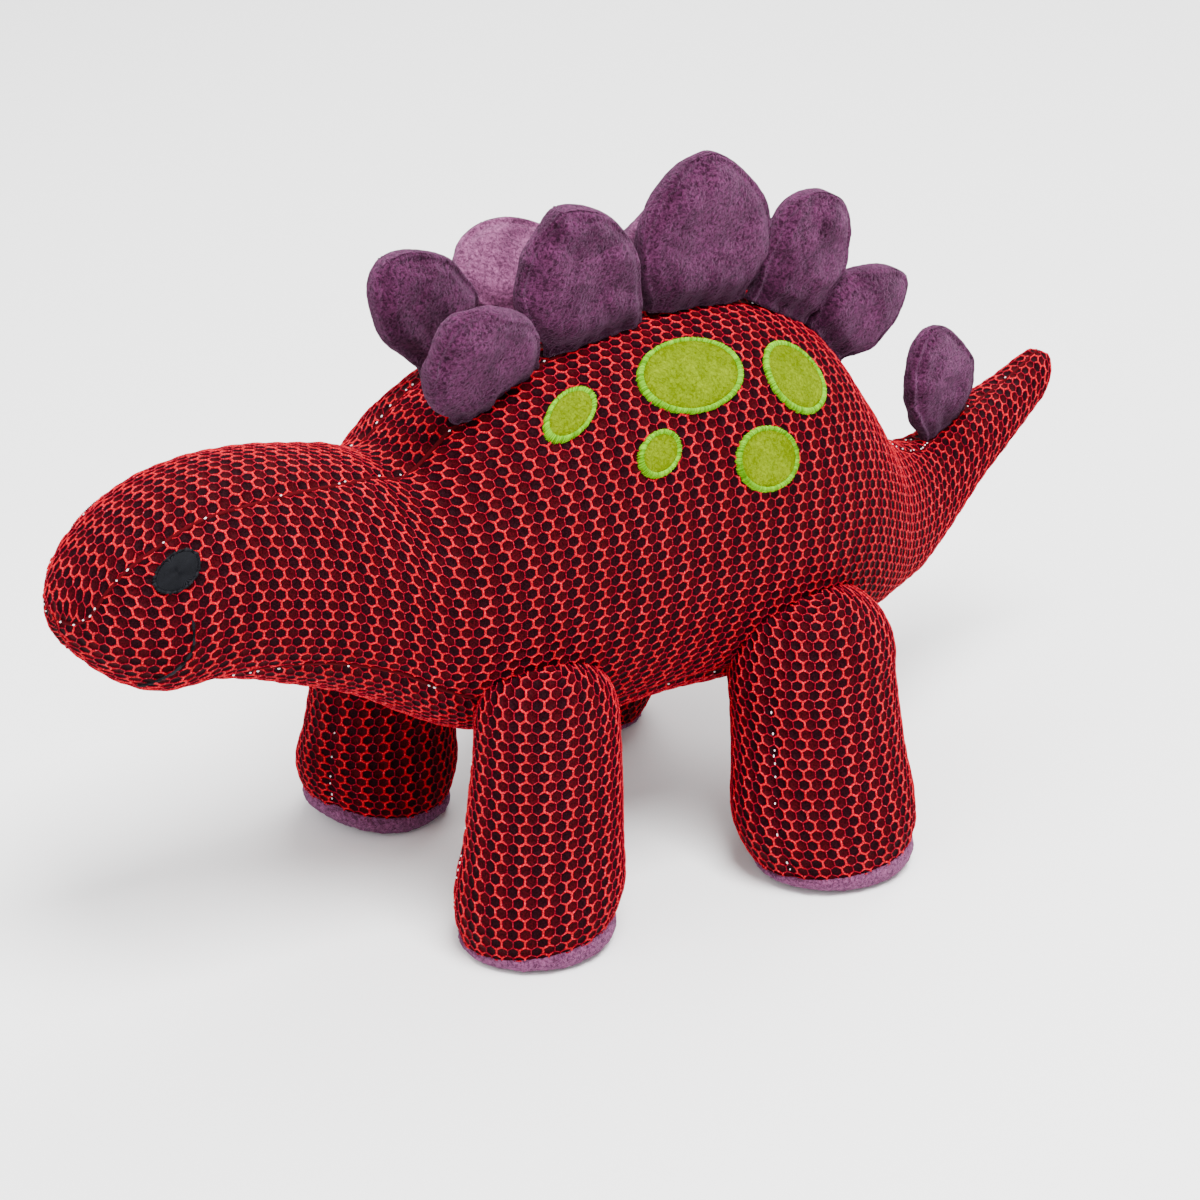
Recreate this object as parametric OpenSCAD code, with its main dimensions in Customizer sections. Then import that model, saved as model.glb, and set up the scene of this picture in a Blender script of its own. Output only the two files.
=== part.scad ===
// A stuffed stegosaurus: mesh-cloth covers over stuffing, with plush back plates, soles and
// spots. The head points to -Y, the tail to +Y, the left side to +X, and it stands on z = 0.

/* [Cloth] */
// Thickness of the mesh cloth with its backing
mesh_t = 1.6; // [1.2:0.1:1.8]
// Thickness of the short-pile plush
plush_t = 2; // [1.4:0.1:2.2]
// Space between a cover and the stuffing drawn inside it
slack = 0.6; // [0.5:0.1:1]
// Clearance between pieces that move against each other
gap = 0.4; // [0.3:0.05:0.6]

/* [Body] */
// Length from the nose to the tip of the tail
body_l = 460; // [450:1:470]
// Height of the back at its highest point
back_z = 209; // [200:1:214]
// Height of the belly above the floor
belly_z = 57; // [54:1:62]
// Half of the width across the flanks
flank_w = 65; // [62:1:68]
// Half of the width of the head
head_w = 36; // [33:1:39]
// Radius of the rounded nose
nose_r = 40; // [34:1:44]
// Radius of the rounded tip of the tail
tip_r = 12; // [9:1:14]
// Sideways bend of the tail's tip
tail_bend = 18; // [0:1:20]

/* [Bending places] */
// Distance of the neck's crease from the middle, towards the head
neck_y = 118; // [116:1:120]
// Radius of the stuffing's round end in the neck
neck_r = 36; // [32:1:37]
// Angle of the crease on each side of the neck
neck_fold = 9; // [8:1:12]
// Distance of the tail's crease from the middle, towards the tail
tail_y = 130; // [128:1:132]
// Radius of the stuffing's round end in the root of the tail
tail_r = 19; // [16:1:20]
// Angle of the crease on each side of the tail's root
tail_fold = 14; // [12:1:16]

/* [Legs] */
// Radius of a foot
foot_r = 30; // [28:0.5:31]
// Height of the plush sole's rim
sole_h = 7; // [6:0.5:9]
// Radius of a front leg where it meets the body
front_r = 28; // [27:0.5:29]
// Radius of a rear leg where it meets the body
rear_r = 32; // [31:0.5:33]
// Distance of the legs' flat inner faces from the middle
seat_x = 32; // [31:0.5:34]
// How far a leg swings forwards or backwards, in degrees
leg_swing = 20; // [15:1:20]

/* [Plates] */
// Greatest thickness of a back plate
plate_t = 13; // [10:0.5:14]
// Radius of the bead along a plate's sewn edge
bead_r = 2.6; // [2.4:0.1:3]

/* [Spots and face] */
// Thickness of a plush spot
spot_t = 1.4; // [1:0.1:2]
// Width of the satin stitch round a spot
edging_w = 2; // [1.6:0.1:2.4]
// Length of an embroidered eye
eye_l = 15; // [13:0.5:17]
// Thickness of the mouth's thread line
mouth_t = 1.2; // [1:0.1:1.6]

/* [Hidden] */
nose_y = -body_l / 2;
tip_y = body_l / 2;
fullness = 2 / 2.2;
front_y = -neck_y;

// Along the body: y, lowest z, highest z, half width
stations = [
  [nose_y, 120, 172, head_w - 4],
  [-205, 113, 179, head_w - 1],
  [-180, 112, 186, head_w],
  [-150, 102, 186, head_w + 2],
  [-120, 87, 179, 42],
  [-104, 76, 174, 48],
  [-85, 66, 187, 56],
  [-50, belly_z + 1, back_z - 7, flank_w - 3],
  [0, belly_z, back_z, flank_w],
  [40, belly_z, back_z - 3, flank_w],
  [72, belly_z + 2, 189, 58],
  [94, 61, 161, 47],
  [110, 65, 138, 37],
  [130, 70, 122, 27],
  [150, 79, 117, 20],
  [175, 95, 124, 16],
  [200, 107, 129, 13],
  [tip_y, 118, 138, 8]
];

// Along the body: y, angle of the back gusset's seam from the top of the section
back_seam = [
  [nose_y, 90], [-226, 74], [-220, 50], [-209, 39], [-160, 37], [-130, 29],
  [-105, 18], [-50, 15], [0, 12], [45, 13], [75, 15], [100, 16], [tail_y + 10, 14]
];

// Along the body: y, angle of the belly gusset's seam from the top of the section
chin_y = -204;
belly_seam = [
  [nose_y, 180], [chin_y, 180], [-190, 160], [-170, 138], [-146, 126], [-116, 122],
  [-90, 124], [-50, 136], [0, 138], [60, 138], [90, 140], [tail_y + 10, 150]
];

// Each leg: side, hip y, hip z, radius at the hip, outer x at the hip, foot x, foot y
leg_rows = [
  [1, -71, 77, front_r, 76, 57, -76],
  [-1, -71, 77, front_r, 76, 57, -76],
  [1, 42, 72, rear_r, 89, 77.5, 43],
  [-1, 42, 72, rear_r, 89, 77.5, 28]
];

// Each plate: side, y, base length, greatest width, height, outward lean in degrees
plate_rows = [
  [1, -66, 37, 47, 42, 22],
  [1, -25.2, 38, 47, 46, 6],
  [1, 21.4, 40, 58, 49, 3],
  [1, 58, 28, 41, 43, 4],
  [1, 82, 20, 33, 39, 4],
  [-1, -65.5, 28, 41, 45, 0],
  [-1, -27, 38, 48, 37, 38],
  [-1, 34, 38, 50, 37, 2],
  [-1, 73, 28, 40, 34, 4],
  [0, 163, 28, 37, 43, 0]
];

// Each spot: y, angle from the top, half length, half width, turn in degrees
spot_rows = [
  [-51, 37, 12.5, 8, 23],
  [-2, 39, 22, 15, -2],
  [41, 46, 15, 14, 80],
  [-25, 59, 10, 8, 24],
  [18, 69, 14.5, 12.3, 0]
];

// Thread line of the mouth: y, angle from the top
mouth_line = [[-197.5, 86], [-197.4, 94], [-198.2, 102], [-201.5, 112], [-206.5, 124], [-211, 140]];

legs = ["front_left", "front_right", "rear_left", "rear_right"];
plates = ["left_1", "left_2", "left_3", "left_4", "left_5",
          "right_1", "right_2", "right_3", "right_4", "tail"];

red = "firebrick";
purple = "mediumorchid";
lime = "yellowgreen";
cotton = "ivory";

// ---- curves ----

// Row of the table whose stretch holds y
function row_at(t, y, i = 0) = i >= len(t) - 2 || y < t[i + 1][0] ? i : row_at(t, y, i + 1);

// Slope of column k at row i
function slope_at(t, k, i) =
  let (a = max(i - 1, 0), b = min(i + 1, len(t) - 1))
  (t[b][k] - t[a][k]) / (t[b][0] - t[a][0]);

// Column k of the table at y, on a smooth curve through its rows
function smooth(t, k, y) =
  let (
    i = row_at(t, y),
    h = t[i + 1][0] - t[i][0],
    u = min(1, max(0, (y - t[i][0]) / h)),
    u2 = u * u,
    u3 = u2 * u
  )
  (2 * u3 - 3 * u2 + 1) * t[i][k] + (u3 - 2 * u2 + u) * h * slope_at(t, k, i)
  + (3 * u2 - 2 * u3) * t[i + 1][k] + (u3 - u2) * h * slope_at(t, k, i + 1);

function mix(a, b, u) = a + (b - a) * u;
function clamp(v) = min(1, max(-1, v));
function swell(v) = sign(v) * pow(abs(v), fullness);

// Turn of the rounded nose and of the rounded tail tip: 0 at the point, 90 past the round
function nose_turn(y) = acos(clamp(1 - min(1, (y - nose_y) / nose_r)));
function tip_turn(y) = acos(clamp(1 - min(1, (tip_y - y) / tip_r)));

function half_h(y) = (smooth(stations, 2, y) - smooth(stations, 1, y)) / 2;
function mid_z(y) = (smooth(stations, 2, y) + smooth(stations, 1, y)) / 2;
function bend_x(y) = y < 120 ? 0 : -tail_bend * pow((y - 120) / (tip_y - 120), 1.5);

// Point on the body at y and at angle a from the top, at depth d under the surface
function skin(y, a, d = 0) =
  let (n = nose_turn(y), t = tip_turn(y), r = sin(n) * sin(t))
  [
    bend_x(y) + (smooth(stations, 3, y) - d) * r * swell(sin(a)),
    y + d * cos(n) - d * cos(t),
    mid_z(y) + (half_h(y) - d) * r * swell(cos(a))
  ];

neck_z = mid_z(front_y);

// Y along the head, torso and tail for u from 0 to 1
arc_share = 0.45;
function head_along(u) =
  u < arc_share ? nose_y + nose_r * (1 - cos(mix(2, 90, u / arc_share)))
                : mix(nose_y + nose_r, front_y, (u - arc_share) / (1 - arc_share));
function torso_along(u) = mix(front_y - neck_r, tail_y + tail_r, u);
function tail_along(u) =
  u > 1 - arc_share ? tip_y - tip_r * (1 - cos(mix(3, 90, (1 - u) / arc_share)))
                    : mix(tail_y, tip_y - tip_r, u / (1 - arc_share));

// ---- solids built from points ----

function quad(a, b, c, d) = [[a, c, b], [a, d, c]];
function turned(faces) = [for (f = faces) [for (i = [len(f) - 1:-1:0]) f[i]]];

// Faces of a grid of n rows with m points each, from point number k
function grid(n, m, k, closed) =
  [for (i = [0:n - 2], j = [0:(closed ? m - 1 : m - 2)])
    each quad(k + i * m + j, k + i * m + (j + 1) % m,
              k + (i + 1) * m + (j + 1) % m, k + (i + 1) * m + j)];

// Curved sheet between depths d0 and d1. at(u, v, d) gives its points
module sheet(nu, nv, at, d0, d1, flip = false) {
  m = nv + 1;
  n = nu + 1;
  k = n * m;
  outer = [for (i = [0:nu], j = [0:nv]) at(i / nu, j / nv, d0)];
  inner = [for (i = [0:nu], j = [0:nv]) at(i / nu, j / nv, d1)];
  faces = concat(
    grid(n, m, 0, false),
    turned(grid(n, m, k, false)),
    [for (j = [0:nv - 1]) each quad(j + 1, j, k + j, k + j + 1)],
    [for (j = [0:nv - 1], e = nu * m + j) each quad(e, e + 1, k + e + 1, k + e)],
    [for (i = [0:nu - 1], e = i * m) each quad(e, e + m, k + e + m, k + e)],
    [for (i = [0:nu - 1], e = i * m + nv) each quad(e + m, e, k + e, k + e + m)]
  );
  polyhedron(concat(outer, inner), flip ? turned(faces) : faces, convexity = 6);
}

// Solid through rings of points, with flat ends
module loft(rings, flip = false) {
  m = len(rings[0]);
  n = len(rings);
  faces = concat(
    grid(n, m, 0, true),
    [[for (j = [0:m - 1]) j]],
    [[for (j = [m - 1:-1:0]) (n - 1) * m + j]]
  );
  polyhedron([for (r = rings) each r], flip ? turned(faces) : faces, convexity = 6);
}

// Shell between two sets of rings, open at the first ring and closed at the last
module pocket(outer, inner, flip = false) {
  m = len(outer[0]);
  n = len(outer);
  k = n * m;
  faces = concat(
    grid(n, m, 0, true),
    [[for (j = [m - 1:-1:0]) (n - 1) * m + j]],
    turned(grid(n, m, k, true)),
    [[for (j = [0:m - 1]) k + (n - 1) * m + j]],
    [for (j = [0:m - 1]) each quad((j + 1) % m, j, k + j, k + (j + 1) % m)]
  );
  points = concat([for (r = outer) each r], [for (r = inner) each r]);
  polyhedron(points, flip ? turned(faces) : faces, convexity = 6);
}

// Ring whose rows close on themselves both ways, as round a cord
module hoop(rings) {
  m = len(rings[0]);
  n = len(rings);
  faces = [for (i = [0:n - 1], j = [0:m - 1], next = (i + 1) % n, side = (j + 1) % m)
    each quad(i * m + j, i * m + side, next * m + side, next * m + j)];
  polyhedron([for (r = rings) each r], faces, convexity = 4);
}

// ---- body ----

function top_seam(y) = smooth(back_seam, 1, y);
function low_seam(y) = y < chin_y ? 180 : min(180, smooth(belly_seam, 1, y));

// Number of flat facets round a side panel, round the back gusset and along the torso
side_facets = 8;
back_facets = 3;
torso_steps = 14;

// Cover panel between seam functions a0 and a1, laid along the given stretch
module panel(nu, nv, along, a0, a1, side = 1) {
  at = function (u, v, d)
    let (y = along(u))
    skin(y, side * mix(a0(y), a1(y), v), d);
  sheet(nu, nv, at, 0, mesh_t, side < 0);
}

// Angles round the body at the corners of the cover panels' facets
function panel_angles(y) =
  let (a = top_seam(y), b = low_seam(y))
  concat(
    [for (j = [0:back_facets - 1]) mix(-a, a, j / back_facets)],
    [for (j = [0:side_facets - 1]) mix(a, b, j / side_facets)],
    [for (j = [0:side_facets - 1]) mix(b, 360 - b, j / side_facets)],
    [for (j = [0:side_facets - 1]) mix(360 - b, 360 - a, j / side_facets)]
  );

// Stuffing of the body between two places, before it is cut for its neighbours
module core(ys, angles) {
  loft([for (y = ys) [for (a = angles(y)) skin(y, a, mesh_t + slack)]]);
}

even_angles = function (y) [for (j = [0:19]) 360 * j / 20];

module neck_round(r) {
  translate([0, front_y, neck_z])
    rotate([0, 90, 0]) cylinder(r = r, h = 3 * flank_w, center = true, $fn = 64);
}

module root_round(r) {
  translate([0, tail_y, 0]) cylinder(r = r, h = back_z + 50, $fn = 64);
}

// Room that a leg needs in the body, through its whole swing
module leg_room(i) {
  row = leg_rows[i];
  r = row[3] + gap;
  drop = row[2];
  spread = (r + drop * sin(leg_swing)) / cos(leg_swing);
  mirror([row[0] < 0 ? 1 : 0, 0, 0])
    translate([seat_x, row[1], row[2]])
      rotate([90, 0, 90]) {
        cylinder(r = r, h = flank_w, $fn = 64);
        linear_extrude(flank_w)
          polygon([
            [-r / cos(leg_swing), 0], [r / cos(leg_swing), 0], [spread, -drop], [-spread, -drop]
          ]);
      }
}

module all_leg_rooms() {
  for (i = [0:3]) leg_room(i);
}

// Block between the neck's and the tail's creases
module torso_block() {
  reach = 120;
  intersection() {
    translate([-reach, 0, neck_z])
      rotate([90, 0, 90])
        linear_extrude(2 * reach)
          polygon([
            [front_y, 0], [front_y + tan(neck_fold) * reach, reach], [2 * reach, reach],
            [2 * reach, -reach], [front_y + tan(neck_fold) * reach, -reach]
          ]);
    linear_extrude(2 * reach)
      polygon([
        [0, tail_y], [reach, tail_y - tan(tail_fold) * reach], [reach, -2 * reach],
        [-reach, -2 * reach], [-reach, tail_y - tan(tail_fold) * reach]
      ]);
  }
}

// Keeps what belongs to the torso: between the creases, with a round end in the neck and tail
module torso_part() {
  intersection() {
    children();
    union() {
      torso_block();
      neck_round(neck_r);
      root_round(tail_r);
    }
  }
}

module torso_side(side) {
  color(red)
    difference() {
      torso_part()
        panel(torso_steps, side_facets, function (u) torso_along(u), function (y) top_seam(y),
              function (y) low_seam(y), side);
      for (i = [0:3]) if (leg_rows[i][0] == side) leg_room(i);
    }
}
module torso_left_panel() { torso_side(1); }
module torso_right_panel() { torso_side(-1); }

module back_gusset() {
  color("darkred")
    torso_part()
      panel(torso_steps, back_facets, function (u) torso_along(u), function (y) -top_seam(y),
            function (y) top_seam(y));
}

module belly_gusset() {
  color("darkred")
    difference() {
      torso_part()
        panel(torso_steps, side_facets, function (u) torso_along(u), function (y) low_seam(y),
              function (y) 360 - low_seam(y));
      all_leg_rooms();
    }
}

module torso_filling() {
  color(cotton)
    difference() {
      torso_part()
        core([for (i = [0:torso_steps]) torso_along(i / torso_steps)],
             function (y) panel_angles(y));
      all_leg_rooms();
    }
}

// ---- head ----

head_steps = 12;

// Keeps what belongs to the head: in front of the neck's round and its creases
module head_part() {
  crease = 60;
  difference() {
    children();
    neck_round(neck_r + gap);
    for (s = [-1, 1])
      translate([-crease, front_y, neck_z])
        rotate([90, 0, 90])
          linear_extrude(2 * crease)
            polygon([[1, 0], [1, s * crease], [-tan(neck_fold) * crease, s * crease]]);
  }
}

module head_side(side) {
  color(red)
    head_part()
      panel(head_steps, side_facets, function (u) head_along(u), function (y) top_seam(y),
            function (y) low_seam(y), side);
}
module head_left_panel() { head_side(1); }
module head_right_panel() { head_side(-1); }

module head_gusset() {
  color("darkred")
    head_part()
      panel(head_steps, 4, function (u) head_along(u), function (y) -top_seam(y),
            function (y) top_seam(y));
}

// The throat's facets meet those of the head's side panels, from its point under the chin
module throat_gusset() {
  before_chin = 4;
  color("darkred")
    head_part()
      panel(head_steps - before_chin, 6,
            function (u) max(chin_y + 1.5, head_along(mix(before_chin / head_steps, 1, u))),
            function (y) low_seam(y), function (y) 360 - low_seam(y));
}

module head_filling() {
  turns = [for (t = [6:14:90]) nose_y + nose_r * (1 - cos(t))];
  rest = [for (i = [1:6]) mix(nose_y + nose_r, front_y, i / 6)];
  color(cotton) head_part() core(concat(turns, rest), even_angles);
}

// Point dy along and up by da from the point at y and angle a, at depth d
function on_skin(y, a, dy, da, d) =
  let (w = norm(skin(y, a + 1) - skin(y, a - 1)) / 2)
  skin(y + dy, a - da / w, d);

// Flat oval pieces on the skin. Row: y, angle from the top, half length, half width, turn
function oval(row, f, t) =
  let (p = f * row[2] * cos(t), q = f * row[3] * sin(t), c = cos(row[4]), s = sin(row[4]))
  [p * c - q * s, p * s + q * c];
function oval_ring(row, f, d, m) =
  [for (j = [0:m - 1]) let (o = oval(row, f, 360 * j / m)) on_skin(row[0], row[1], o[0], o[1], d)];

module badge(row, low, high, m = 14) {
  loft([
    oval_ring(row, 0.06, -low, m), oval_ring(row, 0.55, -low, m), oval_ring(row, 1, -low, m),
    oval_ring(row, 1, -high, m), oval_ring(row, 0.55, -high, m), oval_ring(row, 0.06, -high, m)
  ]);
}

lift = 0.3;
eye_row = [-199, 57.6, eye_l / 2, eye_l * 0.36, 18];

module eyes() {
  color("black")
    for (s = [0, 1]) mirror([s, 0, 0]) badge(eye_row, lift, lift + mouth_t);
}

module mouth_stitches() {
  count = 14;
  rows = [for (i = [0:count]) i / count * (len(mouth_line) - 1)];
  function spot_on(u) =
    let (i = min(floor(u), len(mouth_line) - 2), f = u - i)
    mix(mouth_line[i], mouth_line[i + 1], f);
  color("black")
    for (s = [0, 1])
      mirror([s, 0, 0])
        loft([for (u = rows)
          let (c = spot_on(u), h = mouth_t / 2)
          [
            skin(c[0] - h, c[1], -lift), skin(c[0] - h, c[1], -lift - mouth_t),
            skin(c[0] + h, c[1], -lift - mouth_t), skin(c[0] + h, c[1], -lift)
          ]], true);
}

// ---- tail ----

// Keeps what belongs to the tail: behind the root's round and its creases
module tail_part() {
  crease = 50;
  difference() {
    children();
    root_round(tail_r + gap);
    for (s = [-1, 1])
      linear_extrude(2 * back_z)
        polygon([
          [0, tail_y - 1], [s * crease, tail_y - 1],
          [s * crease, tail_y + tan(tail_fold) * crease], [0, tail_y]
        ]);
  }
}

module tail_side(side) {
  color(red)
    tail_part() panel(10, 6, function (u) tail_along(u), function (y) 0, function (y) 180, side);
}
module tail_left_panel() { tail_side(1); }
module tail_right_panel() { tail_side(-1); }

module tail_filling() {
  rest = [for (i = [0:6]) mix(tail_y, tip_y - tip_r, i / 6)];
  turns = [for (t = [70:-20:10]) tip_y - tip_r * (1 - cos(t))];
  color(cotton) tail_part() core(concat(rest, turns), even_angles);
}

// ---- legs ----

// Middle of a leg's rounded top, and the height above which its inner face is flat
leg_top_x = 55;
clear_z = 40;

// Leg's section at height z: inner x, outer x, middle y, half depth
function leg_section(row, z) =
  let (
    hip_z = row[2],
    u = min(1, max(0, (z - sole_h) / (hip_z - sole_h))),
    over = min(1, max(0, (z - hip_z) / row[3])),
    round = sqrt(1 - over * over),
    foot_in = row[5] - foot_r,
    straight_z = foot_in < seat_x ? clear_z : hip_z,
    tuck = min(1, max(0, (z - sole_h) / (straight_z - sole_h))),
    outer = mix(row[5] + foot_r, row[4], u)
  )
  [
    mix(foot_in, seat_x + gap, tuck),
    mix(leg_top_x, outer, round),
    mix(row[6], row[1], u),
    mix(foot_r, row[3], u) * round
  ];

function leg_ring(row, z, d, m) =
  let (s = leg_section(row, z), x = (s[0] + s[1]) / 2, w = (s[1] - s[0]) / 2 - d, h = s[3] - d)
  [for (j = [0:m - 1]) [row[0] * (x + w * cos(360 * j / m)), s[2] + h * sin(360 * j / m), z]];

function leg_heights(row, top) =
  concat([for (i = [0:5]) mix(sole_h, row[2], i / 5)], [for (t = [18:18:72]) row[2] + top * sin(t)]);

module leg_cover(i) {
  row = leg_rows[i];
  m = 18;
  outer = [for (z = leg_heights(row, row[3])) leg_ring(row, z, 0, m)];
  inner = [for (k = [0:len(outer) - 1])
    let (z = leg_heights(row, row[3])[k], low = leg_heights(row, row[3] - mesh_t)[k])
    [for (p = leg_ring(row, z, mesh_t, m)) [p.x, p.y, low]]];
  color(red) pocket(outer, inner, row[0] < 0);
}

module leg_filling(i) {
  row = leg_rows[i];
  m = 18;
  d = mesh_t + slack;
  heights = leg_heights(row, row[3] - d);
  base = leg_ring(row, sole_h, foot_r * 0.24, m);
  color(cotton)
    loft(concat(
      [[for (p = base) [p.x, p.y, plush_t + slack]]],
      [for (k = [0:len(heights) - 1])
        [for (p = leg_ring(row, leg_heights(row, row[3])[k], d, m)) [p.x, p.y, heights[k]]]]
    ), row[0] < 0);
}

// Dished plush disc whose flat underside is the foot's resting face
module sole(i) {
  row = leg_rows[i];
  flat_r = foot_r * 0.8;
  rim_r = foot_r;
  color(purple)
    translate([row[0] * row[5], row[6], 0])
      rotate_extrude($fn = 72)
        polygon([
          [0, 0], [flat_r, 0],
          [mix(flat_r, rim_r, 0.6), sole_h * 0.16], [mix(flat_r, rim_r, 0.9), sole_h * 0.45],
          [rim_r, sole_h - 0.1], [rim_r - plush_t, sole_h - 0.1], [flat_r - 1, plush_t], [0, plush_t]
        ]);
}

// ---- plates ----

// Leaf's half width and half thickness as shares, along its height
leaf_width = [[0, 0.7], [0.2, 0.86], [0.42, 1], [0.64, 0.85], [0.8, 0.62], [0.93, 0.36], [1, 0.12]];
leaf_thick = [[0, 0.4], [0.12, 0.66], [0.4, 1], [0.7, 0.84], [0.9, 0.56], [1, 0.22]];

// Sewn edge of a plate: middle of its bead's axis, and the back's slope there
function plate_seat(row) =
  let (
    on_tail = row[0] == 0,
    a = on_tail ? 0 : row[0] * top_seam(row[1]),
    p = skin(row[1] - row[2] / 2, a),
    q = skin(row[1] + row[2] / 2, a),
    m = (p + q) / 2,
    t = (q - p) / norm(q - p),
    n = [0, -t.z, t.y] / norm([t.y, t.z]),
    bulge = max([for (i = [1:7]) (skin(row[1] + row[2] * (i / 8 - 0.5), a) - m) * n])
  )
  [m + n * (max(0, bulge) + bead_r + 2 * gap), atan2(t.z, t.y), atan2(-t.x, norm([t.y, t.z]))];

function leaf_ring(row, f, d, m) =
  let (
    base = row[2] / row[3],
    w0 = smooth(leaf_width, 1, f),
    w = row[3] / 2 * (f < 0.42 ? mix(base, 1, (w0 - 0.7) / 0.3) : w0) - d,
    full = f <= 0 ? bead_r : max(bead_r, plate_t / 2 * smooth(leaf_thick, 1, f)),
    t = max(0.4 * full, full - d)
  )
  [for (j = [0:m - 1]) [t * cos(360 * j / m), w * sin(360 * j / m), f * row[4]]];

function bead_ring(row, d, m) =
  let (w = row[2] / 2 - 1 - d, t = bead_r * 0.43 * (d > 0 ? 0.4 : 1))
  [for (j = [0:m - 1]) [t * cos(360 * j / m), w * sin(360 * j / m), -0.9 * bead_r]];

module on_back(row) {
  seat = plate_seat(row);
  translate(seat[0])
    rotate([0, 0, seat[2]]) rotate([seat[1], 0, 0]) rotate([0, row[0] * row[5], 0]) children();
}

leaf_steps = [0, 0.14, 0.28, 0.42, 0.6, 0.76, 0.9, 1];

module plate_cover(i) {
  row = plate_rows[i];
  m = 12;
  outer = concat([bead_ring(row, 0, m)], [for (f = leaf_steps) leaf_ring(row, f, 0, m)]);
  inner = concat([bead_ring(row, plush_t, m)],
                 [for (f = leaf_steps) leaf_ring(row, f * (1 - plush_t / row[4]), plush_t - 0.4, m)]);
  color(purple) on_back(row) pocket(outer, inner);
}

module plate_filling(i) {
  row = plate_rows[i];
  m = 12;
  steps = [for (f = leaf_steps) mix(0.16, 0.9, f)];
  color(cotton) on_back(row) loft([for (f = steps) leaf_ring(row, f, plush_t + slack, m)]);
}

// ---- spots ----

module spot(i, side) {
  row = spot_rows[i];
  inset = edging_w + 0.15;
  small = [row[0], row[1], row[2] - inset, row[3] - inset, row[4]];
  color(lime) mirror([side < 0 ? 1 : 0, 0, 0]) badge(small, lift, lift + spot_t);
}

module spot_edging(side) {
  m = 18;
  color("greenyellow")
    mirror([side < 0 ? 1 : 0, 0, 0])
      for (row = spot_rows) {
        inner = [row[0], row[1], row[2] - edging_w, row[3] - edging_w, row[4]];
        low_out = oval_ring(row, 1, -lift, m);
        high_out = oval_ring(row, 1, -lift - spot_t, m);
        low_in = oval_ring(inner, 1, -lift, m);
        high_in = oval_ring(inner, 1, -lift - spot_t - 0.3, m);
        hoop([low_in, low_out, high_out, high_in]);
      }
}
module spot_edging_left() { spot_edging(1); }
module spot_edging_right() { spot_edging(-1); }

// ---- drawing ----

torso_left_panel();
torso_right_panel();
back_gusset();
belly_gusset();
torso_filling();
head_left_panel();
head_right_panel();
head_gusset();
throat_gusset();
head_filling();
eyes();
mouth_stitches();
tail_left_panel();
tail_right_panel();
tail_filling();
for (i = [0:3]) leg_cover(i);
for (i = [0:3]) leg_filling(i);
for (i = [0:3]) sole(i);
for (i = [0:9]) plate_cover(i);
for (i = [0:9]) plate_filling(i);
for (i = [0:4]) spot(i, 1);
for (i = [0:4]) spot(i, -1);
spot_edging_left();
spot_edging_right();
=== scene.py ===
import math

import bpy
import numpy as np
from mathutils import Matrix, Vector, noise


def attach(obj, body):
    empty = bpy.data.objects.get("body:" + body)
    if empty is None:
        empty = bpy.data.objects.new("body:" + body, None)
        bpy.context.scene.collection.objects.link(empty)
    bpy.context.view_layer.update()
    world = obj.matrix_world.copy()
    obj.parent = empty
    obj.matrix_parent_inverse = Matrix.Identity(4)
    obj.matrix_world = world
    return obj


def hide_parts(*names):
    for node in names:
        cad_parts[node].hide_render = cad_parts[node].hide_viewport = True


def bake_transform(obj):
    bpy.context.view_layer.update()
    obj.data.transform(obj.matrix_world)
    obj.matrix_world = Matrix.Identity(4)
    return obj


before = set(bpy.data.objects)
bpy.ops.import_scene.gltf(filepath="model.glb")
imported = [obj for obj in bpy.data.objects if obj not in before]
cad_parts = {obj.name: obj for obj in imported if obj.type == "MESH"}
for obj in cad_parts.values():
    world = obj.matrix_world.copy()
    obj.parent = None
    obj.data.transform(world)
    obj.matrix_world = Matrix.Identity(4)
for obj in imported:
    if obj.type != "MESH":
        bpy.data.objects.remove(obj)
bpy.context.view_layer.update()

# A stuffed stegosaurus: honeycomb-mesh covers over stuffing, with plush plates, soles and spots.
# The head points to -Y, the tail to +Y, the left side to +X. Lengths are metres, angles degrees.

MM = 0.001
rng = np.random.default_rng(7)

# ---- sizes of the body ----

NOSE_Y, TIP_Y = -0.230, 0.230
NOSE_R, TIP_R = 0.040, 0.012

# The tail bends to the right from here to the tip, by this much at the tip
BEND_Y, TAIL_BEND = 0.120, 0.018

# Power that rounds the body's section: 1 is an ellipse, and less is squarer
FULLNESS = 2 / 2.2

# Where the belly gusset starts under the chin, and where both gussets end at the tail
CHIN_Y = -0.204
GUSSET_END = 0.156

# Along the body, in millimetres: y, lowest z, highest z, half width
STATIONS = np.array([
    [-230, 120, 172, 35], [-205, 114, 179, 36.5], [-180, 113, 186, 36.5], [-150, 102, 186, 38],
    [-120, 87, 179, 42], [-104, 76, 174, 48], [-85, 66, 187, 56], [-50, 58, 202, 62],
    [0, 57, 209, 65], [40, 54.5, 206, 65], [72, 57, 189, 58.5], [94, 60, 161, 49],
    [110, 63, 138, 39], [130, 67.5, 122, 28.5], [150, 76.5, 117, 21], [175, 93, 124, 16.5],
    [200, 106, 129, 13], [230, 118, 138, 8],
]) * MM

# Along the body: y in millimetres, angle of the seam from the top of the section
BACK_SEAM = np.array([
    [-230, 90], [-226, 74], [-220, 50], [-209, 39], [-160, 37], [-130, 29], [-105, 18],
    [-50, 15], [0, 12], [45, 13], [75, 15], [100, 16], [140, 14], [156, 0],
], float)
BELLY_SEAM = np.array([
    [-230, 180], [-204, 180], [-190, 160], [-170, 138], [-146, 126], [-116, 122], [-90, 124],
    [-50, 136], [0, 138], [60, 138], [90, 140], [140, 150], [156, 180],
], float)

# ---- sizes of the legs, in millimetres: side, hip y and z, hip radius, outer x, foot x and y ----

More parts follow.
